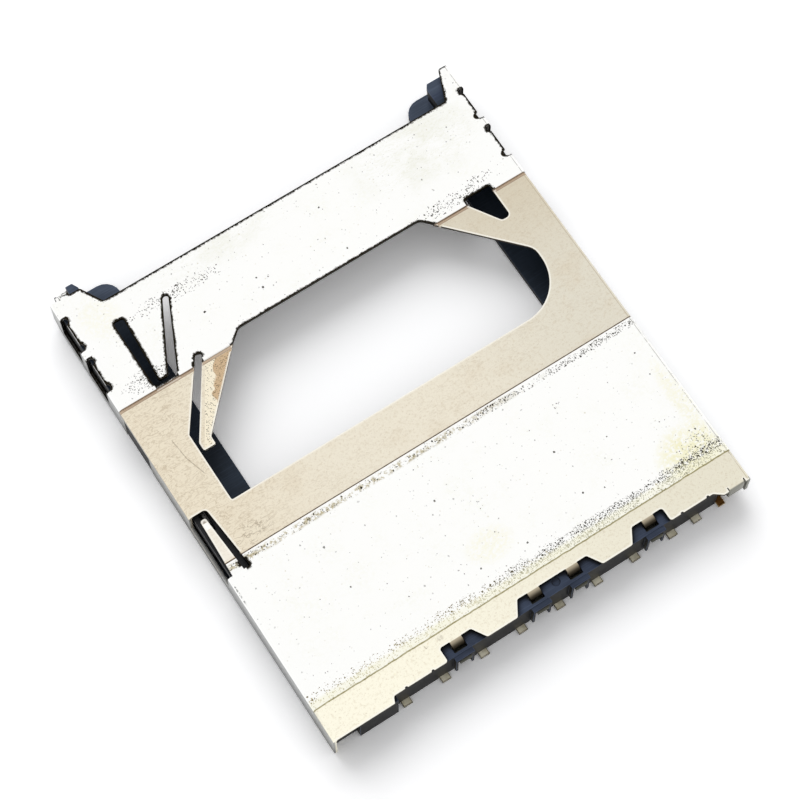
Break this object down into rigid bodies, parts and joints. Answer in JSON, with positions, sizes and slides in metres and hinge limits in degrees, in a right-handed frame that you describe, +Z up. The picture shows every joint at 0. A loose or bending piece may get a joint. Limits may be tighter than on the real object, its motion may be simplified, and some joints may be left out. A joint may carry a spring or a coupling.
{
  "type": "memory card socket",
  "caption": "Flat push-push memory card socket: a stamped metal shell with a window and spring tongues over a black U-frame with contacts, switches and a sprung slider.",
  "frame": {"origin": "middle of the socket's outline on the board plane", "axes": "+Y the way the card goes in, +X towards the side of the card's cut corner, +Z up from the board"},
  "size_m": [0.0272, 0.0304, 0.0029],
  "materials": {
    "shell_sheet": "plated sheet, bright panels and satin bands",
    "frame_plastic": "moulded black",
    "contact_metal": "thin gold plate",
    "switch_bronze": "bare bronze",
    "slider_plastic": "moulded black",
    "spring_wire": "drawn wire"
  },
  "bodies": {
    "socket_frame": {"shell": "shell_sheet", "housing": "frame_plastic", "contact_1": "contact_metal", "contact_2": "contact_metal", "contact_3": "contact_metal", "contact_4": "contact_metal", "contact_5": "contact_metal", "contact_6": "contact_metal", "contact_7": "contact_metal", "contact_8": "contact_metal", "contact_9": "contact_metal", "switch_common": "switch_bronze", "detect_arm": "contact_metal", "protect_arm": "contact_metal", "eject_spring": "spring_wire"},
    "push_slider": {"slider": "slider_plastic"},
    "cam_link": {"cam_pin": "spring_wire"}
  },
  "joints": [
    {"name": "slider_push", "type": "slide", "parent": "socket_frame", "child": "push_slider", "axis": [0, 1, 0], "range_m": [0, 0.005], "stiffness_N_per_m": 60, "springref_m": -0.003, "deforming": ["eject_spring"]},
    {"name": "cam_pin_swing", "type": "hinge", "parent": "socket_frame", "child": "cam_link", "pos_m": [0.01268, -0.00585, 0.0018], "axis": [0, 0, -1], "range_deg": [0, 2.8]}
  ],
  "couplings": [
    {"joint": "cam_pin_swing", "follows": "slider_push", "rad_per_m": 7.887}
  ]
}
